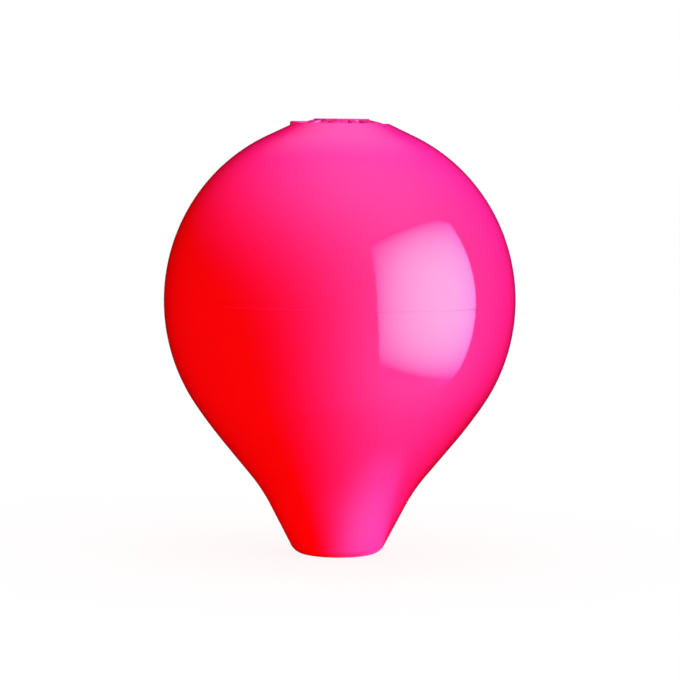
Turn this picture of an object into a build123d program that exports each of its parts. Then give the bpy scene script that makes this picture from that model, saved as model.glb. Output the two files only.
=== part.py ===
from build123d import *
import math
import os

# Pear-shaped inflatable mooring buoy with a rope tube (hawse tube) through its axis.
# Millimetres. The origin is the centre of the flat foot and +Z runs up the tube.
# The inflation valve is on the crown towards -X, and the part is the same each side of the XZ plane.

# Body, an oval belly between a conical shoulder and a slightly bowed cone
body_diameter = 455.0
belly_half_height = 234.5
equator_height = 329.2
shoulder_angle = 25.4
belly_end_angle = 34.0
cone_bow_radius = 640.0
cone_angle = 39.6
skin_wall = 4.5

# Neck below the cone and the flat foot that the buoy stands on
neck_top_radius = 99.0
neck_blend_radius = 228.0
foot_radius = 55.0
foot_edge_radius = 20.0

# Mould line round the belly
mould_line_width = 3.0
mould_line_height = 0.4

# Rope tube
rope_bore_radius = 28.6
tube_wall = 4.5
mouth_radius = 2.5

# Foot collar, let into the foot round the tube
foot_collar_radius = 39.5
foot_collar_thickness = 4.0

# Crown, a flange with a raised rim round the bore and ribs that run out from it
crown_radius = 61.6
crown_seat_depth = 4.0
crown_proud = 0.3
crown_chamfer = 0.6
rim_radius = 37.6
rim_height = 6.0
rim_edge_radius = 1.2
rib_count = 15
rib_width = 9.2
rib_foot_radius = 52.0
rib_foot_height = 1.0
rib_top_drop = 1.6
rib_edge_radius = 0.8

# Inflation valve, a round seat in the crown's edge and a slotted screw in it
valve_offset = 55.0
valve_seat_radius = 11.5
valve_seat_proud = 2.6
valve_edge_radius = 1.2
air_hole_radius = 3.4
screw_head_radius = 7.0
screw_head_thickness = 1.8
screw_shank_length = 4.6
screw_slot_width = 1.6
screw_slot_depth = 1.0

# Clearances
seat_clearance = 0.3
screw_clearance = 0.2

# What follows from the sizes above
body_radius = body_diameter / 2
belly_centre = Vector(0, equator_height)
tube_radius = rope_bore_radius + tube_wall
tube_hole_radius = tube_radius + seat_clearance
crown_hole_radius = crown_radius + seat_clearance


def outward(slope):
    """Unit normal of a flank that leans in, going down, by this angle from the vertical."""
    lean = math.radians(slope)
    return Vector(math.cos(lean), -math.sin(lean))


def downward(slope):
    """Unit direction down a flank that leans in by this angle from the vertical."""
    lean = math.radians(slope)
    return Vector(-math.sin(lean), -math.cos(lean))


def arc(centre, radius, first, last):
    """Arc about a centre between two unit directions, by the shorter way round."""
    middle = (first + last).normalized()
    return ThreePointArc(centre + first * radius, centre + middle * radius, centre + last * radius)


def belly_arc(depth, first, last):
    """Belly's oval at a depth inside the outer skin, between two slopes from the vertical."""
    across = body_radius - depth
    up = belly_half_height - depth
    start = math.degrees(math.atan(math.tan(math.radians(first)) * up / across))
    end = math.degrees(math.atan(math.tan(math.radians(last)) * up / across))
    return EllipticalCenterArc(belly_centre, across, up, start_angle=start, arc_size=end - start)


def shoulder_point(depth, radius):
    """Point of the straight shoulder at a radius, at a depth inside the outer skin."""
    belly_top = belly_arc(depth, 0, 90 - shoulder_angle) @ 1
    rise = (belly_top.X - radius) * math.tan(math.radians(shoulder_angle))
    return Vector(radius, belly_top.Y + rise)


cone_top = belly_arc(0, -belly_end_angle, 0) @ 0
bow_centre = cone_top - outward(belly_end_angle) * cone_bow_radius
cone_start = bow_centre + outward(cone_angle) * cone_bow_radius
cone_fall = (cone_start.X - neck_top_radius) / math.sin(math.radians(cone_angle))
neck_corner = cone_start + downward(cone_angle) * cone_fall
neck_angle = math.degrees(math.atan2(neck_top_radius - foot_radius, neck_corner.Y))
blend_reach = neck_blend_radius * math.tan(math.radians(cone_angle - neck_angle) / 2)
blend_start = neck_corner - downward(cone_angle) * blend_reach
blend_centre = blend_start + outward(cone_angle) * neck_blend_radius

shoulder_height = shoulder_point(0, crown_hole_radius).Y
crown_seat_height = shoulder_height - crown_seat_depth
flange_height = shoulder_height + crown_proud
rim_top_height = flange_height + rim_height
valve_top_height = flange_height + valve_seat_proud


def lower_flank(depth):
    """Neck blend, straight cone and bowed cone at a depth inside the outer skin, going up."""
    blend = arc(
        blend_centre,
        neck_blend_radius + depth,
        outward(neck_angle) * -1,
        outward(cone_angle) * -1,
    )
    bow = arc(
        bow_centre,
        cone_bow_radius - depth,
        outward(cone_angle),
        outward(belly_end_angle),
    )
    return [blend, Line(blend @ 1, bow @ 0), bow]


def neck_line(blend, height):
    """Straight neck from the blend down to a height, drawn going up."""
    fall = ((blend @ 0).Y - height) / math.cos(math.radians(neck_angle))
    return Line(blend @ 0 + downward(neck_angle) * fall, blend @ 0)


def outer_skin():
    """Outline of the skin from the end of the flat foot up to the crown, with the mould line."""
    neck_side = outward(neck_angle)
    edge_inset = foot_edge_radius * (1 - math.sin(math.radians(neck_angle)))
    edge_centre = Vector(
        foot_radius - edge_inset / math.cos(math.radians(neck_angle)), foot_edge_radius
    )
    edge = arc(edge_centre, foot_edge_radius, Vector(0, -1), neck_side)
    flank = lower_flank(0)
    half = math.degrees(mould_line_width / 2 / belly_half_height)
    below = belly_arc(0, -belly_end_angle, -half)
    above = belly_arc(0, half, 90 - shoulder_angle)
    crest = Vector(body_radius + mould_line_height, equator_height)
    bead = ThreePointArc(below @ 1, crest, above @ 0)
    shoulder = Line(above @ 1, shoulder_point(0, crown_hole_radius))
    return [edge, Line(edge @ 1, flank[0] @ 0), *flank, below, bead, above, shoulder]


def inner_skin(foot_land, crown_land):
    """Outline of the skin's inner face between the two lands, drawn going up."""
    flank = lower_flank(skin_wall)
    belly = belly_arc(skin_wall, -belly_end_angle, 90 - shoulder_angle)
    belly_top = belly @ 1
    run = (crown_land - belly_top.Y) / math.tan(math.radians(shoulder_angle))
    shoulder = Line(belly_top, Vector(belly_top.X - run, crown_land))
    return [neck_line(flank[0], foot_land), *flank, Line(flank[2] @ 1, belly @ 0), belly, shoulder]


def turned(section):
    """Solid of revolution about Z of a section drawn as (radius, height)."""
    return revolve(Plane.XZ * section, axis=Axis.Z)


def rounded(section, corners):
    """Section with the corners nearest to each (radius, height) rounded by the given radius."""
    for radius, height, edge in corners:
        corner = section.vertices().sort_by_distance((radius, height))[0]
        section = fillet(corner, edge)
    return section


def on_valve_axis(piece, height):
    """Piece stood on the valve's axis at a height."""
    return Pos(-valve_offset, 0, height) * piece


def round_bar(radius, height):
    """Upright bar standing on its own base."""
    return Cylinder(radius, height, align=(Align.CENTER, Align.CENTER, Align.MIN))


def valve_pocket():
    """Room for the valve seat, from the crown's seat up past the rim."""
    depth = rim_top_height - crown_seat_height
    return on_valve_axis(round_bar(valve_seat_radius + seat_clearance, depth), crown_seat_height)


def hull():
    """Inflated skin, open at both ends for the tube, with a seat for each collar."""
    foot_land = foot_collar_thickness + skin_wall
    crown_land = crown_seat_height - skin_wall
    foot_hole_radius = foot_collar_radius + seat_clearance
    outer = outer_skin()
    inner = inner_skin(foot_land, crown_land)
    crown_side = Polyline(
        outer[-1] @ 1,
        Vector(crown_hole_radius, crown_seat_height),
        Vector(tube_hole_radius, crown_seat_height),
        Vector(tube_hole_radius, crown_land),
        inner[-1] @ 1,
    )
    foot_side = Polyline(
        inner[0] @ 0,
        Vector(tube_hole_radius, foot_land),
        Vector(tube_hole_radius, foot_collar_thickness),
        Vector(foot_hole_radius, foot_collar_thickness),
        Vector(foot_hole_radius, 0),
        outer[0] @ 0,
    )
    section = make_face(outer + crown_side.edges() + inner + foot_side.edges())
    air_hole = on_valve_axis(round_bar(air_hole_radius, skin_wall), crown_land)
    return turned(section) - valve_pocket() - air_hole


def hawse_tube():
    """Tube that the rope or rod passes through, held between the crown and the foot collar."""
    section = Polygon(
        (rope_bore_radius, foot_collar_thickness),
        (tube_radius, foot_collar_thickness),
        (tube_radius, crown_seat_height),
        (rope_bore_radius, crown_seat_height),
        align=None,
    )
    return turned(section)


def foot_collar():
    """Ring that closes the foot round the tube, with a rounded mouth."""
    section = Polygon(
        (rope_bore_radius, 0),
        (foot_collar_radius, 0),
        (foot_collar_radius, foot_collar_thickness),
        (rope_bore_radius, foot_collar_thickness),
        align=None,
    )
    return turned(rounded(section, [(rope_bore_radius, 0, mouth_radius)]))


def crown_ring():
    """Flange of the crown with the raised rim round the bore."""
    section = Polygon(
        (rope_bore_radius, crown_seat_height),
        (crown_radius, crown_seat_height),
        (crown_radius, flange_height),
        (rim_radius, flange_height),
        (rim_radius, rim_top_height),
        (rope_bore_radius, rim_top_height),
        align=None,
    )
    corners = [
        (rim_radius, rim_top_height, rim_edge_radius),
        (rope_bore_radius, rim_top_height, mouth_radius),
    ]
    edge = section.vertices().sort_by_distance((crown_radius, flange_height))[0]
    return turned(rounded(chamfer(edge, crown_chamfer), corners))


def rib():
    """Sloping rib from inside the rim out to its low foot on the flange, along +X."""
    root_radius = (rope_bore_radius + rim_radius) / 2
    root_height = rim_top_height - rib_top_drop
    foot_height = flange_height + rib_foot_height
    slope = (root_height - foot_height) / (rib_foot_radius - rim_radius)
    side = Polygon(
        (root_radius, shoulder_height),
        (rib_foot_radius, shoulder_height),
        (rib_foot_radius, foot_height),
        (root_radius, foot_height + slope * (rib_foot_radius - root_radius)),
        align=None,
    )
    bar = extrude(Plane.XZ * side, amount=rib_width / 2, both=True)
    top = bar.faces().sort_by(Axis.Z)[-1]
    long_edges = top.edges().filter_by(lambda edge: abs(edge.center().Y) > rib_width / 4)
    return fillet(long_edges, rib_edge_radius)


def crown():
    """Ribbed crown: the ring and its ribs in one piece, notched for the valve seat."""
    pitch = 360 / rib_count
    ring = crown_ring()
    for place in range(rib_count):
        turn = 180 + pitch * (place + 0.5)
        ring += Rot(0, 0, turn) * rib()
    return ring - valve_pocket()


def valve_seat():
    """Round seat of the valve, standing on the same level as the crown."""
    top = valve_top_height - crown_seat_height
    ledge = top - screw_head_thickness
    recess_radius = screw_head_radius + screw_clearance
    section = Polygon(
        (air_hole_radius, 0),
        (valve_seat_radius, 0),
        (valve_seat_radius, top),
        (recess_radius, top),
        (recess_radius, ledge),
        (air_hole_radius, ledge),
        align=None,
    )
    seat = turned(rounded(section, [(valve_seat_radius, top, valve_edge_radius)]))
    return on_valve_axis(seat, crown_seat_height)


def valve_screw():
    """Slotted screw that closes the valve, its head level with the seat."""
    head = round_bar(screw_head_radius, screw_head_thickness)
    shank = Pos(0, 0, -screw_shank_length) * round_bar(
        air_hole_radius - screw_clearance, screw_shank_length
    )
    slot = Pos(0, 0, screw_head_thickness - screw_slot_depth) * Box(
        screw_slot_width,
        screw_head_radius * 2,
        screw_slot_depth,
        align=(Align.CENTER, Align.CENTER, Align.MIN),
    )
    return on_valve_axis(head + shank - slot, valve_top_height - screw_head_thickness)


pieces = {
    "hull": hull,
    "hawse_tube": hawse_tube,
    "crown": crown,
    "foot_collar": foot_collar,
    "valve_seat": valve_seat,
    "valve_screw": valve_screw,
}

os.makedirs("parts", exist_ok=True)
for name, make in pieces.items():
    export_step(make(), f"parts/{name}.step")
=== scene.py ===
"""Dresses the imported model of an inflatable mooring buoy: vinyl skin, ribbed crown, rope tube and valve."""

import math

import bpy
import numpy as np
from mathutils import Matrix, Vector


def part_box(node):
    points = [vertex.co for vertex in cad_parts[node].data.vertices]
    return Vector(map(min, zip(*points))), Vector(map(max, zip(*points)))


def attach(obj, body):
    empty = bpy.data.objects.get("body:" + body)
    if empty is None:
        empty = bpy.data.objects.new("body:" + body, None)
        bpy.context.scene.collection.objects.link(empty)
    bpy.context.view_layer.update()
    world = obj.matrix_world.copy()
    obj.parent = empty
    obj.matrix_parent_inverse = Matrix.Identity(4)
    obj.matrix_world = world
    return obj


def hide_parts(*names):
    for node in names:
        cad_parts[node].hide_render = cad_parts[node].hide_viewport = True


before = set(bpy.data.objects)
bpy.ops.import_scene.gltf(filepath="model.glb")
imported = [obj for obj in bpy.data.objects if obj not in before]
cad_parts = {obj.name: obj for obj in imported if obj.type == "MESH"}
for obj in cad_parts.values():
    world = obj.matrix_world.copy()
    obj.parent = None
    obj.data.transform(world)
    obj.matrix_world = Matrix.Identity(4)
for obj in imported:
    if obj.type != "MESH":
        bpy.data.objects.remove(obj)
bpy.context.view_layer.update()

bl_info = {
    "name": "Mooring Buoy",
    "version": (1, 0, 0),
    "blender": (4, 5, 0),
    "location": "View3D > Sidebar > Buoy",
    "description": "Builds the skin, crown, rope tube, foot and valve of an inflatable mooring buoy",
    "category": "Add Mesh",
}

MM = 0.001
BODY = "root"
FULL_TURN = 2 * math.pi

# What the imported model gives: the corners of its pieces, and so the heights and radii at which they meet.
CROWN_LOW, CROWN_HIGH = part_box("crown")
TUBE_LOW, TUBE_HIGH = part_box("hawse_tube")
COLLAR_LOW, COLLAR_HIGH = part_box("foot_collar")
SEAT_LOW, SEAT_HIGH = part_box("valve_seat")
HALF_HEIGHT = CROWN_HIGH.z / 2
SEAT_CENTRE = ((SEAT_LOW.x + SEAT_HIGH.x) / 2, 0.0)
SEAT_RADIUS = (SEAT_HIGH.x - SEAT_LOW.x) / 2
VALVE_TURN = math.pi

# Clearance between the skin and what is welded into it.
FIT_GAP = 0.3 * MM

# A step too short to show, which keeps neighbouring rows of a grid apart.
SHORT_STEP = 0.2 * MM

# A finer wedge of the skin's grid round the valve seat: half its angle, and its share of the columns.
FINE_HALF = math.radians(15)
FINE_SHARE = 0.25

# Rows of the skin's shoulder that dip under the valve seat.
DIP_ROWS = 11

# The inner skin is out of sight, so it keeps only every sixth row of the outline.
INNER_THINNING = 6

# Edges that turn by more than this are shaded as edges.
SHARP_ANGLE = math.radians(38)

# The window's outline as shares of its distance: across, away from the camera, and up.
WINDOW_OUTLINE = [
    (-0.77, 0.95), (-0.73, -0.05), (-0.64, -0.6), (-0.5, -1.0), (-0.3, -0.96), (0.3, -0.92), (0.58, -0.9),
    (0.74, -0.83), (0.79, -0.65), (0.79, 0.2), (0.77, 0.84), (0.5, 0.9), (0.0, 0.93)]


def linear_from_hex(text):
    """Turns an sRGB hex colour into linear red, green and blue."""
    parts = [int(text[place:place + 2], 16) / 255 for place in (0, 2, 4)]
    return [part / 12.92 if part <= 0.04045 else ((part + 0.055) / 1.055) ** 2.4 for part in parts]


def length(name, description, default, high=2.0):
    """A property for a length in metres, up to high."""
    return bpy.props.FloatProperty(
        name=name, description=description, default=default, min=0.0, max=high,
        precision=5, unit="LENGTH", subtype="DISTANCE")


def number(name, description, default):
    """A property for a plain number."""
    return bpy.props.FloatProperty(name=name, description=description, default=default, precision=4)


def angle(name, description, degrees):
    """A property for an angle that is written in degrees."""
    return bpy.props.FloatProperty(
        name=name, description=description, default=math.radians(degrees), precision=5, subtype="ANGLE")


def direction(name, description, default):
    """A property for a direction or a place: x right, y behind, z up."""
    return bpy.props.FloatVectorProperty(
        name=name, description=description, default=default, size=3, subtype="XYZ")


def colour(name, description, text):
    """A property for a colour that is written as sRGB hex."""
    return bpy.props.FloatVectorProperty(
        name=name, description=description, default=linear_from_hex(text), min=0.0, max=1.0,
        size=3, subtype="COLOR")


class BuoySkinSizes(bpy.types.PropertyGroup):
    """Sizes of the blown skin."""

    belly_radius: length("Belly radius", "Half the skin's width at its middle", 227.5 * MM)
    belly_half_height: length("Belly half height", "Upright half axis of the belly's ellipse", 234.5 * MM)
    equator_height: length("Equator height", "Height of the widest place", 329.2 * MM)
    shoulder_angle: angle("Shoulder angle", "Fall of the straight shoulder under the crown", 25.4)
    belly_end_angle: angle("Belly end angle", "Lean of the skin where the belly ends", 34.0)
    cone_angle: angle("Cone angle", "Lean of the lower cone from upright", 39.6)
    cone_bow_radius: length("Cone bow radius", "Radius of the bow between belly and cone", 640.0 * MM)
    neck_top_radius: length("Neck top radius", "Radius where cone and neck would meet", 99.0 * MM)
    neck_blend_radius: length("Neck blend radius", "Radius of the hollow curve into the neck", 228.0 * MM)
    foot_radius: length("Foot radius", "Radius at which the neck would reach the floor", 55.0 * MM)
    foot_edge_radius: length("Foot edge radius", "Rounding of the foot's edge", 20.0 * MM)
    wall: length("Skin wall", "Thickness of the blown skin", 4.5 * MM)
    mould_line_width: length("Mould line width", "Width of the line that the mould leaves", 3.0 * MM)
    mould_line_height: length("Mould line height", "How far the mould line stands out", 0.22 * MM)


class BuoyCrownSizes(bpy.types.PropertyGroup):
    """Sizes of the ribbed crown, the bore and the foot collar."""

    bore_radius: length("Bore radius", "Radius of the rope bore", 28.6 * MM)
    mouth_radius: length("Mouth radius", "Rounding of the bore's mouths", 2.5 * MM)
    collar_edge_radius: length("Collar edge radius", "Rounding of the foot collar's edge", 0.5 * MM)
    rim_radius: length("Rim radius", "Outer radius of the raised rim", 37.6 * MM)
    rim_height: length("Rim height", "Height of the rim over the flange", 6.0 * MM)
    rib_foot_radius: length("Rib foot radius", "Where a rib's sloping back ends", 52.0 * MM)
    rib_foot_height: length("Rib foot height", "Height of a rib at its outer end", 1.0 * MM)
    rib_top_drop: length("Rib top drop", "How far below the rim a rib starts", 1.6 * MM)
    rib_width: length("Rib width", "Width of a rib", 9.2 * MM)
    rib_count: bpy.props.IntProperty(name="Ribs", description="Ribs round the rim", default=15)
    moulded_fillet: length("Moulded fillet", "Softness of the corners between rim, ribs and flange", 1.1 * MM)
    wall_draft: number("Wall draft", "Rise of a rib's walls for each unit inwards", 4.0)
    rim_draft: number("Rim draft", "Rise of the rim's wall for each unit inwards", 2.5)
    wall_spread: length("Wall spread", "How far walls reach past their lines at the flange", 0.4 * MM)
    outer_chamfer: length("Outer chamfer", "Small chamfer round the flange", 0.6 * MM)
    seam_gap: length("Seam gap", "Fine groove round the valve seat", 0.7 * MM)
    seam_depth: length("Seam depth", "How deep skin and crown dip under the valve seat", 2.4 * MM)
    seam_bend: number("Seam bend", "Power that steepens the groove's wall towards its top", 0.7)


class BuoyValveSizes(bpy.types.PropertyGroup):
    """Sizes of the valve seat."""

    recess_depth: length("Recess depth", "How deep the screw's head sits", 1.8 * MM)
    recess_gap: length("Recess gap", "Room round the screw's head", 0.2 * MM)
    hole_radius: length("Hole radius", "Radius of the air hole", 3.6 * MM)
    lip_radius: length("Lip radius", "Rounding of the recess's edge", 0.4 * MM)
    shoulder_width: length("Shoulder width", "How far in the seat's sloping shoulder reaches", 3.4 * MM)
    shoulder_drop: length("Shoulder drop", "How far the shoulder falls to the seat's side", 2.0 * MM)


class BuoyFinish(bpy.types.PropertyGroup):
    """Colours and finish of the vinyl."""

    vinyl: colour("Vinyl", "Crimson pigment of the soft vinyl", "FD0206")
    vinyl_deep: colour("Vinyl, deep", "The pigment where the melt lay thicker", "F80104")
    gloss: number("Gloss", "Roughness of the mirror-like skin", 0.05)
    crown: colour("Crown vinyl", "Pigment of the pressed vinyl in crown and valve seat", "D01650")
    crown_deep: colour("Crown vinyl, deep", "The same where it is thicker", "BC0E44")
    crown_gloss: number("Crown gloss", "Roughness of the pressed vinyl", 0.2)
    screw: colour("Screw", "The moulded valve screw", "B80A2C")
    melt_size: length("Melt size", "Size of the slow changes in the pigment", 90 * MM)
    cloud_size: length("Cloud size", "Size of the hazier clouds in the gloss", 18 * MM)
    peel_size: length("Peel size", "Size of the orange peel", 2.2 * MM)
    peel_height: length("Peel height", "Height of the orange peel", 0.012 * MM)
    sway_size: length("Sway size", "Size of the slow sway in the skin", 70 * MM)
    sway_height: length("Sway height", "Height of the slow sway", 0.10 * MM)
    haze: number("Haze", "How far the gloss changes either way, as a share of it", 0.2)
    grain_size: length("Grain size", "Size of the screw's matte grain", 0.6 * MM)
    grain_height: length("Grain height", "Height of the screw's matte grain", 0.02 * MM)
    screw_gloss: number("Screw gloss", "Roughness of the screw where it is smoothest", 0.3)
    screw_haze: number("Screw haze", "How much rougher its grain makes the screw", 0.12)


class BuoyStudio(bpy.types.PropertyGroup):
    """Camera and lights."""

    azimuth: angle("Azimuth", "Turn of the camera about the buoy", -2.0)
    distance: length("Distance", "From the buoy's axis to the camera", 3.738, high=20.0)
    height: length("Height", "Height of the camera", 0.5467, high=20.0)
    pitch: angle("Pitch", "How far the camera looks down", 4.11)
    turn: angle("Turn", "How far the camera looks past the axis", -0.013)
    roll: angle("Roll", "Tilt of the camera about its view", 0.545)
    lens: number("Lens", "Focal length in millimetres", 153.0)
    ambient: number("Ambient", "Even light from all round", 1.0)
    key_energy: number("Key light", "Energy of the soft key light in watts", 8.0)
    key_size: length("Key size", "Side of the soft key light", 1.6, high=10.0)
    key_place: direction("Key place", "Where the soft key light hangs", (1.9, -1.7, 1.9))
    floor: colour("Floor", "The pale floor", "FFFFFF")
    floor_size: length("Floor size", "Side of the floor", 60.0, high=200.0)
    floor_glow: number("Floor glow", "Share of the floor that shows the background's white", 0.85)
    floor_gap: length("Floor gap", "How far the floor lies below the foot, so that they don't mix", 0.2 * MM)


class BuoyMirrored(bpy.types.PropertyGroup):
    """What only the gloss sees: a large window on the right, a glow of rosy cloth, and two soft cards."""

    distance: length("Window distance", "How far off the window stands", 15.0, high=100.0)
    window_turn: angle("Window turn", "Where the window stands, from the front to the right", 58.0)
    window: colour("Window", "Light of the window", "D8BBFF")
    window_level: number("Window level", "Brightness of the window where it is brightest", 18.6)
    window_rim: colour("Window rim", "Light of the window where it has faded", "E864FF")
    rim_level: number("Window rim level", "Brightness of the window where it has faded", 7.8)
    brightest: direction("Brightest", "Brightest place, as shares of the distance", (0.078, 0.055, 0.0))
    spread: direction("Spread", "How fast the window fades across it and up it", (1.12, 1.18, 0.0))
    fade_power: number("Fade power", "How abruptly the window fades upwards and downwards", 2.4)
    fade_bend: number("Fade bend", "Power that keeps the window's light up towards its rim", 0.7)
    rose_deep: colour("Rose, deep", "Dim cloth", "FF3BFF")
    rose_pale: colour("Rose, pale", "Bright cloth", "FF6EFF")
    glow_level: number("Glow level", "Brightness of the cloth along the glow's middle line", 8.6)
    glow_reach: number("Glow reach", "How far from its middle line the glow ends, among directions", 1.57)
    glow_foot: direction("Glow foot", "Where the glow's line crosses the buoy's level", (0.64, -0.51, 0.0))
    glow_lean: direction("Glow lean", "Which way the glow's middle line runs", (-0.37, 0.24, 1.0))
    dome_radius: length("Dome radius", "Radius of the cloth dome round the set", 30.0, high=100.0)
    low_level: number("Low card level", "Brightness of the card beside the foot", 2.4)
    low_place: direction("Low card place", "Middle of the card beside the foot", (0.083, -0.063, -0.001))
    low_reach: length("Low card reach", "Where the light of the low card ends", 0.11)
    high_light: colour("High card", "Light of the card over and behind the crown", "FFD8D8")
    high_level: number("High card level", "Brightness of the card over and behind the crown", 0.75)
    high_place: direction("High card place", "Which way from the buoy the high card is", (0.02, 0.6, 0.8))
    high_reach: length("High card reach", "Where the light of the high card ends", 7.5, high=100.0)


# Shapes: closed outlines and grids of points

def outward(slope):
    """The direction that leaves the skin where it leans by slope under the upright: (cos, -sin)."""
    return np.array([math.cos(slope), -math.sin(slope)])


def downward(slope):
    """The direction down along the skin where it leans by slope: (-sin, -cos)."""
    return np.array([-math.sin(slope), -math.cos(slope)])


def arc(centre, radius, start, end, points):
    """Points centre + radius (cos a, sin a) of an arc, with a from start to end, as radius and height."""
    turn = np.linspace(start, end, points)
    return np.stack([centre[0] + radius * np.cos(turn), centre[1] + radius * np.sin(turn)], 1)


def outer_outline(size, offset=0.0):
    """The skin's outline from the shoulder's inner end down to the foot, as radius and height.

    The belly is an ellipse (a cos t, h + b sin t). A straight shoulder leaves it upwards as its tangent, and
    downwards come a bowed arc, a straight cone, a hollow arc, the straight neck and the foot's round edge.
    An offset moves every point inwards, square to the skin."""
    a, b = size.belly_radius, size.belly_half_height
    start = math.atan(math.tan(math.pi / 2 - size.shoulder_angle) * b / a)
    end = -math.atan(math.tan(size.belly_end_angle) * b / a)
    turn = np.linspace(start, end, num=128)
    belly = np.stack([a * np.cos(turn), size.equator_height + b * np.sin(turn)], 1)
    fall = np.array([math.cos(size.shoulder_angle), -math.sin(size.shoulder_angle)])
    reach = (belly[0, 0] - CROWN_HIGH.x - FIT_GAP) / fall[0]
    shoulder = between(belly[0] - fall * reach, belly[0], points=14)[:-1]
    bow_centre = belly[-1] - outward(size.belly_end_angle) * size.cone_bow_radius
    bow = arc(bow_centre, size.cone_bow_radius, -size.belly_end_angle, -size.cone_angle, points=16)[1:]
    corner = bow[-1] + downward(size.cone_angle) * (
        (bow[-1, 0] - size.neck_top_radius) / math.sin(size.cone_angle))
    neck_angle = math.atan2(size.neck_top_radius - size.foot_radius, corner[1])
    cut = size.neck_blend_radius * math.tan((size.cone_angle - neck_angle) / 2)
    blend_centre = (corner - downward(size.cone_angle) * cut
                    + outward(size.cone_angle) * size.neck_blend_radius)
    blend = arc(blend_centre, size.neck_blend_radius,
                math.pi - size.cone_angle, math.pi - neck_angle, points=26)
    foot_flat = size.foot_radius - size.foot_edge_radius * (1 - math.sin(neck_angle)) / math.cos(neck_angle)
    edge = arc((foot_flat, size.foot_edge_radius), size.foot_edge_radius,
               -neck_angle, -math.pi / 2, points=16)
    cone = between(bow[-1], blend[0], points=8)[1:-1]
    neck = between(blend[-1], edge[0], points=6)[1:-1]
    outline = np.concatenate([shoulder, belly, bow, cone, blend, neck, edge])
    if offset:
        along = np.gradient(outline, axis=0)
        along /= np.linalg.norm(along, axis=1)[:, None]
        outline = outline + offset * np.stack([along[:, 1], -along[:, 0]], 1)
    return outline


def between(start, end, points):
    """Points evenly spaced on the straight line from start to end."""
    share = np.linspace(0, 1, points)[:, None]
    return np.asarray(start) * (1 - share) + np.asarray(end) * share


def with_mould_line(outline, size):
    """Adds the mould line: close rows round the equator, pushed out by h cos^2(pi z / w).

    The close rows reach a quarter past the line, and the outline's own rows keep a little clear of them."""
    half = size.mould_line_width / 2
    reach, clear = half * 1.25, half * 1.3
    above = outline[outline[:, 1] > size.equator_height + clear]
    below = outline[outline[:, 1] < size.equator_height - clear]
    z = np.linspace(reach, -reach, num=19)
    bead = np.where(np.abs(z) < half, np.cos(math.pi * z / (2 * half)) ** 2, 0.0) * size.mould_line_height
    skin = size.belly_radius * np.sqrt(1 - (z / size.belly_half_height) ** 2)
    return np.concatenate([above, np.stack([skin + bead, size.equator_height + z], 1), below])


def even_angles(columns):
    """Angles spaced evenly round a full turn."""
    return np.arange(columns) * FULL_TURN / columns


def finer_angles(columns, fine_at):
    """Angles round a full turn, with the fine share of them packed evenly within the fine half of fine_at."""
    fine = int(columns * FINE_SHARE)
    close = fine_at + np.linspace(-FINE_HALF, FINE_HALF, fine)
    wide = fine_at + np.linspace(FINE_HALF, FULL_TURN - FINE_HALF, columns - fine + 2)[1:-1]
    return np.concatenate([close, wide])


def turned(loop, angles, centre=(0.0, 0.0)):
    """The grid (cx + r cos a, cy + r sin a, z): a loop of radius and height, turned round an upright axis."""
    r = loop[:, 0][:, None]
    z = np.broadcast_to(loop[:, 1][:, None], (len(loop), len(angles)))
    return np.stack([centre[0] + r * np.cos(angles), centre[1] + r * np.sin(angles), z], 2)


def piece(name, points, material, node):
    """Makes a closed piece from a grid of points that wraps in both directions.

    Each square of the grid is one face, and the winding is turned where the enclosed volume comes out
    negative, so that every face points outwards."""
    rows, columns = points.shape[:2]
    count = rows * columns
    index = np.arange(count).reshape(rows, columns)
    right = np.roll(index, -1, 1)
    faces = np.stack([index, right, np.roll(right, -1, 0), np.roll(index, -1, 0)], 2).reshape(-1, 4)
    flat = points.reshape(-1, 3)
    a, b, c, d = (flat[faces[:, side]] for side in range(4))
    volume = (np.einsum("ij,ij->i", a, np.cross(b, c)) + np.einsum("ij,ij->i", a, np.cross(c, d))).sum()
    if volume < 0:
        faces = faces[:, ::-1]
    mesh = bpy.data.meshes.new(name)
    mesh.vertices.add(count)
    mesh.vertices.foreach_set("co", flat.astype(np.float32).ravel())
    mesh.loops.add(faces.size)
    mesh.loops.foreach_set("vertex_index", faces.astype(np.int32).ravel())
    mesh.polygons.add(len(faces))
    mesh.polygons.foreach_set("loop_start", np.arange(0, faces.size, 4, dtype=np.int32))
    mesh.polygons.foreach_set("use_smooth", np.ones(len(faces), dtype=bool))
    mesh.update(calc_edges=True)
    mesh.validate()
    mesh.set_sharp_from_angle(angle=SHARP_ANGLE)
    mesh.materials.append(material)
    made = bpy.data.objects.new(name, mesh)
    bpy.context.scene.collection.objects.link(made)
    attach(made, BODY)
    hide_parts(node)
    return made


def soft_max(a, b, softness):
    """The larger of two heights, with their meeting rounded: b + (a - b) h + k h (1 - h).

    The share h is (1 + (a - b) / k) / 2, kept between nothing and one, and k is the softness."""
    share = np.clip(0.5 + 0.5 * (a - b) / softness, 0, 1)
    return b + (a - b) * share + softness * share * (1 - share)


def soft_min(a, b, softness):
    """The smaller of two heights, with their meeting rounded."""
    return -soft_max(-a, -b, softness)


def valve_dip(x, y, sizes):
    """How far a surface drops under the valve seat: full inside the seat's circle, a fine groove round it.

    The drop is d s^b, and the share s falls evenly from one at the seat's edge to nothing a gap away."""
    away = np.hypot(x - SEAT_CENTRE[0], y - SEAT_CENTRE[1]) - SEAT_RADIUS
    share = np.clip(1 - away / sizes.seam_gap, 0, 1)
    return sizes.seam_depth * share ** sizes.seam_bend


# Materials

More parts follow.
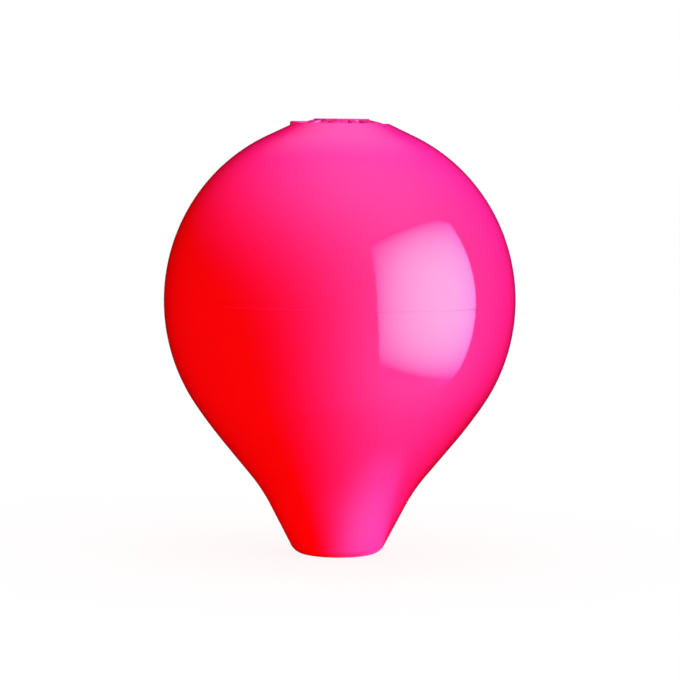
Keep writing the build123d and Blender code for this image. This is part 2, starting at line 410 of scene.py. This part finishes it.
def add_node(tree, kind, settings=None, **links):
    """Adds a node, sets its properties and its sockets by name or number, and links what is given by name.

    A link's name is that of the input, or i with the input's number."""
    node = tree.nodes.new(kind)
    for key, value in (settings or {}).items():
        if isinstance(key, str) and hasattr(node, key):
            setattr(node, key, value)
        else:
            node.inputs[key].default_value = value
    for key, source in links.items():
        target = node.inputs[int(key[1:])] if key[0] == "i" and key[1:].isdigit() else node.inputs[key]
        tree.links.new(source, target)
    return node


def blank_material(name):
    """A material with an empty node tree and its output."""
    material = bpy.data.materials.new(name)
    material.use_nodes = True
    material.node_tree.nodes.clear()
    return material, material.node_tree, material.node_tree.nodes.new("ShaderNodeOutputMaterial")


def vinyl_material(name, finish, light, deep, gloss, sway_height):
    """Vinyl between two pigments, with its own gloss and the height of the slow sway in its skin.

    The skin has a faint orange peel a couple of millimetres across. The sway bends reflected edges a little,
    and the gloss is a shade hazier in small clouds where the piece was handled."""
    material, tree, output = blank_material(name)
    place = add_node(tree, "ShaderNodeTexCoord").outputs["Object"]
    melt = add_node(tree, "ShaderNodeTexNoise", {"Scale": 1 / finish.melt_size, "Detail": 3.0}, Vector=place)
    pigment = add_node(tree, "ShaderNodeMix", {"data_type": "RGBA", "A": (*deep, 1), "B": (*light, 1)},
                       Factor=melt.outputs["Fac"])
    cloud = add_node(tree, "ShaderNodeTexNoise", {"Scale": 1 / finish.cloud_size, "Detail": 4.0},
                     Vector=place)
    least, most = gloss * (1 - finish.haze), gloss * (1 + finish.haze)
    haze = add_node(tree, "ShaderNodeMapRange", {"To Min": least, "To Max": most}, Value=cloud.outputs["Fac"])
    peel = add_node(tree, "ShaderNodeTexNoise", {"Scale": 1 / finish.peel_size, "Detail": 2.0}, Vector=place)
    sway = add_node(tree, "ShaderNodeTexNoise", {"Scale": 1 / finish.sway_size, "Detail": 0.0}, Vector=place)
    slow = add_node(tree, "ShaderNodeBump", {"Distance": sway_height}, Height=sway.outputs["Fac"])
    fine = add_node(tree, "ShaderNodeBump", {"Distance": finish.peel_height},
                    Height=peel.outputs["Fac"], Normal=slow.outputs["Normal"])
    shader = add_node(tree, "ShaderNodeBsdfPrincipled", {"IOR": 1.5})
    tree.links.new(pigment.outputs["Result"], shader.inputs["Base Color"])
    tree.links.new(haze.outputs["Result"], shader.inputs["Roughness"])
    tree.links.new(fine.outputs["Normal"], shader.inputs["Normal"])
    tree.links.new(shader.outputs["BSDF"], output.inputs["Surface"])
    return material


def blown_vinyl(context):
    """Soft vinyl of skin, tube and collar, spun in a heated mould and let off the steel warm.

    To the eye it is a deep even crimson under a mirror-like skin."""
    name, finish = "rotomoulded_vinyl", context.scene.buoy_finish
    return bpy.data.materials.get(name) or vinyl_material(
        name, finish, finish.vinyl, finish.vinyl_deep, finish.gloss, finish.sway_height)


def pressed_vinyl(context):
    """Harder vinyl of crown and valve seat, pressed in a textured mould.

    To the eye it is a duller, pinker red than the skin, with a satin gloss that spreads what it mirrors."""
    name, finish = "injection_moulded_vinyl", context.scene.buoy_finish
    return bpy.data.materials.get(name) or vinyl_material(
        name, finish, finish.crown, finish.crown_deep, finish.crown_gloss, 0.0)


def screw_material(finish):
    """Injection-moulded nylon screw: smooth, with a fine matte grain that breaks its gloss."""
    material, tree, output = blank_material("moulded_nylon")
    place = add_node(tree, "ShaderNodeTexCoord").outputs["Object"]
    grain = add_node(tree, "ShaderNodeTexNoise", {"Scale": 1 / finish.grain_size, "Detail": 3.0},
                     Vector=place)
    bump = add_node(tree, "ShaderNodeBump", {"Strength": 0.6, "Distance": finish.grain_height},
                    Height=grain.outputs["Fac"])
    least, most = finish.screw_gloss, finish.screw_gloss + finish.screw_haze
    haze = add_node(tree, "ShaderNodeMapRange", {"To Min": least, "To Max": most}, Value=grain.outputs["Fac"])
    shader = add_node(tree, "ShaderNodeBsdfPrincipled", {"IOR": 1.53, "Base Color": (*finish.screw, 1)})
    tree.links.new(haze.outputs["Result"], shader.inputs["Roughness"])
    tree.links.new(bump.outputs["Normal"], shader.inputs["Normal"])
    tree.links.new(shader.outputs["BSDF"], output.inputs["Surface"])
    return material


# The stage: cards, dome and cloth

def square(side):
    """Corners of a square about its middle."""
    half = side / 2
    return [(-half, -half), (half, -half), (half, half), (-half, half)]


def stage_mesh(name, points, faces, material):
    """An object of the stage from points and faces."""
    mesh = bpy.data.meshes.new(name)
    mesh.from_pydata(points.tolist(), [], faces)
    mesh.materials.append(material)
    made = bpy.data.objects.new(name, mesh)
    bpy.context.scene.collection.objects.link(made)
    return made


def stage_card(name, centre, normal, outline, material, unit=1.0):
    """A flat card of the stage: an outline in its own plane, carried to centre with its face along normal.

    Its UV map is the outline itself, divided by a unit of length."""
    turn = np.array(Vector(normal).to_track_quat("Z", "Y").to_matrix())
    outline = np.asarray(outline, float)
    points = np.asarray(centre) + np.column_stack([outline, np.zeros(len(outline))]) @ turn.T
    card = stage_mesh(name, points, [tuple(range(len(points)))], material)
    card.data.uv_layers.new(name="plane").data.foreach_set("uv", (outline / unit).astype(np.float32).ravel())
    return card


def round_dome(radius, material):
    """A closed dome far round the set: (R sin p cos a, R sin p sin a, R cos p).

    Its first and last rows stop just short of the poles, where two caps close it."""
    rows, columns, cap = 24, 48, 0.02
    p = np.linspace(cap, math.pi - cap, rows)[:, None]
    a = even_angles(columns)
    across = np.sin(p)
    points = radius * np.stack([across * np.cos(a), across * np.sin(a), np.cos(p) * np.ones(columns)], 2)
    index = np.arange(rows * columns).reshape(rows, columns)
    right = np.roll(index, -1, 1)
    faces = np.stack([index[:-1], index[1:], right[1:], right[:-1]], 2).reshape(-1, 4).tolist()
    caps = [index[0].tolist(), index[-1][::-1].tolist()]
    return stage_mesh("dome", points.reshape(-1, 3), faces + caps, material)


def fading(tree, distance, reach):
    """The share (1 - (distance / reach)^2)^2 of a light that fades to nothing at its reach."""
    near = add_node(tree, "ShaderNodeMath", {"operation": "DIVIDE", 1: reach}, i0=distance)
    times = {"operation": "MULTIPLY"}
    square = add_node(tree, "ShaderNodeMath", times, i0=near.outputs[0], i1=near.outputs[0])
    left = add_node(tree, "ShaderNodeMath", {"operation": "SUBTRACT", 0: 1.0, "use_clamp": True},
                    i1=square.outputs[0])
    share = add_node(tree, "ShaderNodeMath", times, i0=left.outputs[0], i1=left.outputs[0])
    return share.outputs[0]


def lit_cloth(material, tree, output, colour, strength):
    """Ends a material as cloth that glows, for the gloss alone to find."""
    glow = add_node(tree, "ShaderNodeEmission", Color=colour, Strength=strength)
    tree.links.new(glow.outputs[0], output.inputs["Surface"])
    material.cycles.emission_sampling = "NONE"
    return material


def dome_material(mirrored):
    """Rosy cloth of the dome: bright along a leaning line, fading with the distance from it.

    For a direction d of length one, the distance is |(d - foot) x lean|, with lean of length one. The
    brighter the cloth, the paler its rose."""
    material, tree, output = blank_material("dome_cloth")
    place = add_node(tree, "ShaderNodeTexCoord").outputs["Object"]
    toward = add_node(tree, "ShaderNodeVectorMath", {"operation": "NORMALIZE"}, i0=place)
    from_foot = add_node(tree, "ShaderNodeVectorMath", {"operation": "SUBTRACT", 1: mirrored.glow_foot},
                         i0=toward.outputs[0])
    lean = Vector(mirrored.glow_lean).normalized()
    across = add_node(tree, "ShaderNodeVectorMath", {"operation": "CROSS_PRODUCT", 1: lean},
                      i0=from_foot.outputs[0])
    distance = add_node(tree, "ShaderNodeVectorMath", {"operation": "LENGTH"}, i0=across.outputs[0])
    share = fading(tree, distance.outputs["Value"], mirrored.glow_reach)
    level = add_node(tree, "ShaderNodeMath", {"operation": "MULTIPLY", 1: mirrored.glow_level}, i0=share)
    ends = {"A": (*mirrored.rose_deep, 1), "B": (*mirrored.rose_pale, 1)}
    rose = add_node(tree, "ShaderNodeMix", {"data_type": "RGBA", **ends}, Factor=share)
    return lit_cloth(material, tree, output, rose.outputs["Result"], level.outputs[0])


def falling(tree, place, power):
    """The share 1 - |place|^power, and nothing where that falls below nothing."""
    size = add_node(tree, "ShaderNodeMath", {"operation": "ABSOLUTE"}, i0=place)
    lost = add_node(tree, "ShaderNodeMath", {"operation": "POWER", 1: power}, i0=size.outputs[0])
    left = add_node(tree, "ShaderNodeMath", {"operation": "SUBTRACT", 0: 1.0, "use_clamp": True},
                    i1=lost.outputs[0])
    return left.outputs[0]


def window_material(mirrored):
    """Stretched cloth of the window, which fades from its brightest place to its rim.

    Its share is ((1 - x^2) (1 - |y|^p))^b, with x and y the spread times the distance from the brightest
    place, across and up. Both the colour and the strength of its light follow the share."""
    material, tree, output = blank_material("window_cloth")
    place = add_node(tree, "ShaderNodeTexCoord").outputs["UV"]
    off = add_node(tree, "ShaderNodeVectorMath", {"operation": "SUBTRACT", 1: mirrored.brightest}, i0=place)
    scaled = add_node(tree, "ShaderNodeVectorMath", {"operation": "MULTIPLY", 1: mirrored.spread},
                      i0=off.outputs[0])
    parts = add_node(tree, "ShaderNodeSeparateXYZ", i0=scaled.outputs[0])
    left = add_node(tree, "ShaderNodeMath", {"operation": "MULTIPLY"},
                    i0=falling(tree, parts.outputs["X"], 2.0),
                    i1=falling(tree, parts.outputs["Y"], mirrored.fade_power))
    share = add_node(tree, "ShaderNodeMath", {"operation": "POWER", 1: mirrored.fade_bend},
                     i0=left.outputs[0])
    level = add_node(tree, "ShaderNodeMapRange",
                     {"To Min": mirrored.rim_level, "To Max": mirrored.window_level}, Value=share.outputs[0])
    ends = {"A": (*mirrored.window_rim, 1), "B": (*mirrored.window, 1)}
    light = add_node(tree, "ShaderNodeMix", {"data_type": "RGBA", **ends}, Factor=share.outputs[0])
    return lit_cloth(material, tree, output, light.outputs["Result"], level.outputs[0])


def soft_card(name, centre, normal, reach, light, brightness):
    """A card of sheer cloth, which adds a soft patch to the gloss and fades to nothing at its reach."""
    material, tree, output = blank_material(name + "_cloth")
    place = add_node(tree, "ShaderNodeTexCoord").outputs["UV"]
    distance = add_node(tree, "ShaderNodeVectorMath", {"operation": "LENGTH"}, i0=place)
    share = fading(tree, distance.outputs["Value"], 1.0)
    level = add_node(tree, "ShaderNodeMath", {"operation": "MULTIPLY", 1: brightness}, i0=share)
    glow = add_node(tree, "ShaderNodeEmission", {"Color": (*light, 1)}, Strength=level.outputs[0])
    clear = add_node(tree, "ShaderNodeBsdfTransparent")
    both = add_node(tree, "ShaderNodeAddShader", i0=clear.outputs[0], i1=glow.outputs[0])
    tree.links.new(both.outputs[0], output.inputs["Surface"])
    material.cycles.emission_sampling = "NONE"
    return stage_card(name + "_card", centre, normal, square(reach * 2), material, reach)


# Operators

class BUOY_OT_camera(bpy.types.Operator):
    """Adds the camera, level with the crown and looking slightly down"""

    bl_idname = "buoy.camera"
    bl_label = "Camera"

    def execute(self, context):
        studio = context.scene.buoy_studio
        data = bpy.data.cameras.new("camera")
        data.lens = studio.lens
        data.sensor_width = 36.0
        camera = bpy.data.objects.new("camera", data)
        context.scene.collection.objects.link(camera)
        aim = (Matrix.Rotation(studio.azimuth + studio.turn, 4, "Z")
               @ Matrix.Rotation(math.pi / 2 - studio.pitch, 4, "X")
               @ Matrix.Rotation(studio.roll, 4, "Z"))
        place = (math.sin(studio.azimuth) * studio.distance, -math.cos(studio.azimuth) * studio.distance,
                 studio.height)
        camera.matrix_world = Matrix.Translation(place) @ aim
        context.scene.camera = camera
        return {"FINISHED"}


class BUOY_OT_skin(bpy.types.Operator):
    """Adds the blown skin: a closed shell with its lands under the crown and over the foot collar"""

    bl_idname = "buoy.skin"
    bl_label = "Skin"

    def execute(self, context):
        size = context.scene.buoy_skin
        crown = context.scene.buoy_crown
        outer = with_mould_line(outer_outline(size), size)
        inner = outer_outline(size, size.wall)[::INNER_THINNING]
        land_top = CROWN_LOW.z
        tube_clear = TUBE_HIGH.x + FIT_GAP
        collar_clear = COLLAR_HIGH.x + FIT_GAP
        inner = inner[(inner[:, 1] < land_top - size.wall) & (inner[:, 1] > COLLAR_HIGH.z + size.wall)]
        top_land = [(tube_clear, land_top - size.wall), (tube_clear, land_top)]
        foot_land = [(collar_clear, 0.0), (collar_clear, COLLAR_HIGH.z), (tube_clear, COLLAR_HIGH.z),
                     (tube_clear, COLLAR_HIGH.z + size.wall)]
        hole = [(outer[0, 0], land_top)]
        edge_inside = [(inner[-1, 0], COLLAR_HIGH.z + size.wall)]
        roof_inside = [(inner[0, 0], land_top - size.wall)]
        loop = np.concatenate([hole, outer, foot_land, edge_inside, inner[::-1], roof_inside, top_land])
        points = turned(loop, finer_angles(columns=360, fine_at=VALVE_TURN))
        dipped = slice(len(hole), len(hole) + DIP_ROWS)
        x, y, z = (points[dipped, :, axis] for axis in range(3))
        dip = valve_dip(x, y, crown)
        points[dipped, :, 2] = np.where(dip > 0, np.maximum(z - dip, land_top + SHORT_STEP), z)
        piece("skin", points, blown_vinyl(context), "hull")
        return {"FINISHED"}


class BUOY_OT_crown(bpy.types.Operator):
    """Adds the crown: rim, ribs and flange as one moulded height over radius and angle"""

    bl_idname = "buoy.crown"
    bl_label = "Crown"

    def execute(self, context):
        size = context.scene.buoy_crown
        bottom, top, outer = CROWN_LOW.z, CROWN_HIGH.z, CROWN_HIGH.x
        flange = top - size.rim_height
        mouth = arc((size.bore_radius + size.mouth_radius, top - size.mouth_radius), size.mouth_radius,
                    math.pi, math.pi / 2, points=9)
        bore = between((size.bore_radius, bottom), mouth[0], points=4)[:-1]
        land = between((mouth[-1, 0] + SHORT_STEP, top), (outer - size.outer_chamfer, top), points=78)
        wall = between((outer, flange - size.outer_chamfer), (outer, bottom), points=4)
        under = between((outer, bottom), (size.bore_radius, bottom), points=6)[1:-1]
        loop = np.concatenate([bore, mouth, land, wall, under])
        angles = even_angles(columns=600)
        points = turned(loop, angles)
        first = len(bore) + len(mouth)
        rows = slice(first, first + len(land))
        points[rows, :, 2] = self.height(loop[rows, 0][:, None], angles, size, flange, top)
        dipped = slice(rows.start, rows.stop + 1)
        x, y, z = (points[dipped, :, axis] for axis in range(3))
        dip = valve_dip(x, y, size)
        points[dipped, :, 2] = np.where(dip > 0, np.minimum(z, flange) - dip, z)
        piece("crown_ring", points, pressed_vinyl(context), "crown")
        return {"FINISHED"}

    def height(self, radius, angles, size, flange, top):
        """Height at radius and angle: the soft maximum of flange, rim and ribs.

        The rim is a wall that stops at the top. A rib lies along its own centre line: its back falls from the
        rim to its foot, and its sides and outer end are walls with the mould's draft."""
        step = FULL_TURN / size.rib_count
        off = (angles - VALVE_TURN) % step - step / 2
        along = radius * np.cos(off)
        aside = np.abs(radius * np.sin(off))
        share = (along - size.rim_radius) / (size.rib_foot_radius - size.rim_radius)
        back = top - size.rib_top_drop + share * (flange + size.rib_foot_height - top + size.rib_top_drop)
        side = flange + size.wall_draft * (size.rib_width / 2 + size.wall_spread - aside)
        end = flange + size.wall_draft * (size.rib_foot_radius + size.wall_spread - along)
        soft = size.moulded_fillet
        rib = soft_min(soft_min(back, side, soft), end, soft)
        rim_wall = flange + size.rim_draft * (size.rim_radius + size.wall_spread - radius)
        rim = soft_min(np.full_like(rib, top), rim_wall, soft)
        return np.minimum(soft_max(soft_max(rib, rim, soft), np.full_like(rib, flange), soft), top)


class BUOY_OT_tube(bpy.types.Operator):
    """Adds the rope tube through the axis"""

    bl_idname = "buoy.tube"
    bl_label = "Rope tube"

    def execute(self, context):
        bore = context.scene.buoy_crown.bore_radius
        outer, low, high = TUBE_HIGH.x, TUBE_LOW.z, TUBE_HIGH.z
        loop = np.concatenate([
            between((bore, low), (bore, high), points=40), between((outer, high), (outer, low), points=12)])
        points = turned(loop, even_angles(columns=144))
        piece("rope_tube", points, blown_vinyl(context), "hawse_tube")
        return {"FINISHED"}


class BUOY_OT_collar(bpy.types.Operator):
    """Adds the foot collar with its rounded mouth"""

    bl_idname = "buoy.collar"
    bl_label = "Foot collar"

    def execute(self, context):
        size = context.scene.buoy_crown
        outer, low, high = COLLAR_HIGH.x, COLLAR_LOW.z, COLLAR_HIGH.z
        mouth = arc((size.bore_radius + size.mouth_radius, low + size.mouth_radius), size.mouth_radius,
                    -math.pi / 2, -math.pi, points=9)
        top = between((size.bore_radius, high), (outer, high), points=5)
        soft = size.collar_edge_radius
        edge = arc((outer - soft, low + soft), soft, 0, -math.pi / 2, points=5)
        loop = np.concatenate([mouth, top, edge])
        points = turned(loop, even_angles(columns=180))
        piece("collar", points, blown_vinyl(context), "foot_collar")
        return {"FINISHED"}


class BUOY_OT_valve(bpy.types.Operator):
    """Adds the valve seat with its sloping shoulder, about its own axis, and finishes its slotted screw"""

    bl_idname = "buoy.valve"
    bl_label = "Valve"

    def execute(self, context):
        size = context.scene.buoy_valve
        screw_low, screw_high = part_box("valve_screw")
        recess = (screw_high.x - screw_low.x) / 2 + size.recess_gap
        low, high = SEAT_LOW.z, SEAT_HIGH.z
        recess_floor = high - size.recess_depth
        turn = np.linspace(math.pi / 2, 0, num=14)
        shoulder = np.stack([
            SEAT_RADIUS - size.shoulder_width * (1 - np.cos(turn)),
            high - size.shoulder_drop * (1 - np.sin(turn))], 1)
        hole = [(size.hole_radius, low), (size.hole_radius, recess_floor), (recess, recess_floor)]
        lip = arc((recess + size.lip_radius, high - size.lip_radius), size.lip_radius,
                  math.pi, math.pi / 2, points=5)
        side = between(shoulder[-1], (SEAT_RADIUS, low), points=4)[1:]
        loop = np.concatenate([hole, lip, shoulder, side])
        points = turned(loop, even_angles(columns=120), SEAT_CENTRE)
        piece("valve_boss", points, pressed_vinyl(context), "valve_seat")
        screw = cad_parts["valve_screw"]
        screw.data.materials.clear()
        screw.data.materials.append(screw_material(context.scene.buoy_finish))
        return {"FINISHED"}


class BUOY_OT_stage(bpy.types.Operator):
    """Adds the pale floor, the soft lights and the surround that the gloss mirrors"""

    bl_idname = "buoy.stage"
    bl_label = "Stage"

    def execute(self, context):
        context.scene.view_settings.view_transform = "Standard"
        self.world(context)
        self.floor(context)
        self.key_light(context)
        self.mirrored(context.scene.buoy_mirrored)
        return {"FINISHED"}

    def seen(self, tree):
        """One where the ray comes from the camera, or shows the background in gloss or glass."""
        path = add_node(tree, "ShaderNodeLightPath")
        first = add_node(tree, "ShaderNodeMath", {"operation": "MAXIMUM"},
                         i0=path.outputs["Is Camera Ray"], i1=path.outputs["Is Glossy Ray"])
        both = add_node(tree, "ShaderNodeMath", {"operation": "MAXIMUM"},
                        i0=first.outputs[0], i1=path.outputs["Is Transmission Ray"])
        return both.outputs[0]

    def world(self, context):
        """Even light, and plain white where it is seen. The cloth dome takes its place in the gloss."""
        world = bpy.data.worlds.new("studio")
        context.scene.world = world
        world.use_nodes = True
        tree = world.node_tree
        tree.nodes.clear()
        ambient = context.scene.buoy_studio.ambient
        strength = add_node(tree, "ShaderNodeMapRange", {"To Min": ambient, "To Max": 1.0},
                            Value=self.seen(tree))
        light = add_node(tree, "ShaderNodeBackground", {"Color": (1, 1, 1, 1)}, Strength=strength.outputs[0])
        output = tree.nodes.new("ShaderNodeOutputWorld")
        tree.links.new(light.outputs[0], output.inputs["Surface"])

    def floor(self, context):
        """The floor: white paint under a share of the background's white, so that a shadow shows faintly."""
        studio = context.scene.buoy_studio
        material, tree, output = blank_material("painted_floor")
        paint = add_node(tree, "ShaderNodeBsdfDiffuse", {"Color": (*studio.floor, 1)})
        glow = add_node(tree, "ShaderNodeEmission", {"Color": (1, 1, 1, 1), "Strength": 1.0})
        share = add_node(tree, "ShaderNodeMapRange", {"To Max": studio.floor_glow}, Value=self.seen(tree))
        both = add_node(tree, "ShaderNodeMixShader",
                        i0=share.outputs[0], i1=paint.outputs[0], i2=glow.outputs[0])
        tree.links.new(both.outputs[0], output.inputs["Surface"])
        floor = stage_card("floor", (0, 0, -studio.floor_gap), (0, 0, 1), square(studio.floor_size), material)
        floor.visible_glossy = False

    def key_light(self, context):
        """The soft key light, aimed at the buoy's middle and left out of the gloss."""
        studio = context.scene.buoy_studio
        data = bpy.data.lights.new("soft_key", "AREA")
        data.size = studio.key_size
        data.energy = studio.key_energy
        lamp = bpy.data.objects.new("soft_key", data)
        context.scene.collection.objects.link(lamp)
        place = Vector(studio.key_place)
        aim = Vector((0, 0, HALF_HEIGHT)) - place
        lamp.matrix_world = Matrix.Translation(place) @ aim.to_track_quat("-Z", "Y").to_matrix().to_4x4()
        lamp.visible_glossy = False

    def mirrored(self, mirrored):
        """The window, the dome, and the low and high cards, which only the gloss sees."""
        turn, distance = mirrored.window_turn, mirrored.distance
        away = np.array([math.sin(turn), -math.cos(turn), 0.0])
        window = stage_card("window", away * distance + [0, 0, HALF_HEIGHT], away,
                            np.array(WINDOW_OUTLINE) * distance, window_material(mirrored), distance)
        dome = round_dome(mirrored.dome_radius, dome_material(mirrored))
        low = soft_card("low", mirrored.low_place, (0, 0, 1),
                        mirrored.low_reach, mirrored.rose_pale, mirrored.low_level)
        over = np.array(Vector(mirrored.high_place).normalized())
        high = soft_card("high", over * distance, over,
                         mirrored.high_reach, mirrored.high_light, mirrored.high_level)
        for thing in (window, dome, low, high):
            thing.visible_camera = False
            thing.visible_diffuse = False
            thing.visible_shadow = False
            thing.visible_transmission = False


class BUOY_PT_panel(bpy.types.Panel):
    """Lists the buoy's steps in the 3D view's sidebar"""

    bl_idname = "BUOY_PT_panel"
    bl_label = "Mooring Buoy"
    bl_space_type = "VIEW_3D"
    bl_region_type = "UI"
    bl_category = "Buoy"

    def draw(self, context):
        for step in STEPS:
            self.layout.operator(step.bl_idname)
        for name in GROUPS:
            group = getattr(context.scene, name)
            box = self.layout.box()
            for entry in group.__annotations__:
                box.prop(group, entry)


GROUPS = {
    "buoy_skin": BuoySkinSizes,
    "buoy_crown": BuoyCrownSizes,
    "buoy_valve": BuoyValveSizes,
    "buoy_finish": BuoyFinish,
    "buoy_studio": BuoyStudio,
    "buoy_mirrored": BuoyMirrored,
}
STEPS = (
    BUOY_OT_camera, BUOY_OT_skin, BUOY_OT_crown, BUOY_OT_tube, BUOY_OT_collar, BUOY_OT_valve, BUOY_OT_stage)


def register():
    for name, group in GROUPS.items():
        bpy.utils.register_class(group)
        setattr(bpy.types.Scene, name, bpy.props.PointerProperty(type=group))
    for entry in (*STEPS, BUOY_PT_panel):
        bpy.utils.register_class(entry)


def unregister():
    for entry in (BUOY_PT_panel, *reversed(STEPS)):
        bpy.utils.unregister_class(entry)
    for name, group in GROUPS.items():
        delattr(bpy.types.Scene, name)
        bpy.utils.unregister_class(group)


def main():
    """Builds everything in order."""
    register()
    for step in STEPS:
        group, name = step.bl_idname.split(".")
        getattr(getattr(bpy.ops, group), name)()


if __name__ == "__main__":
    main()
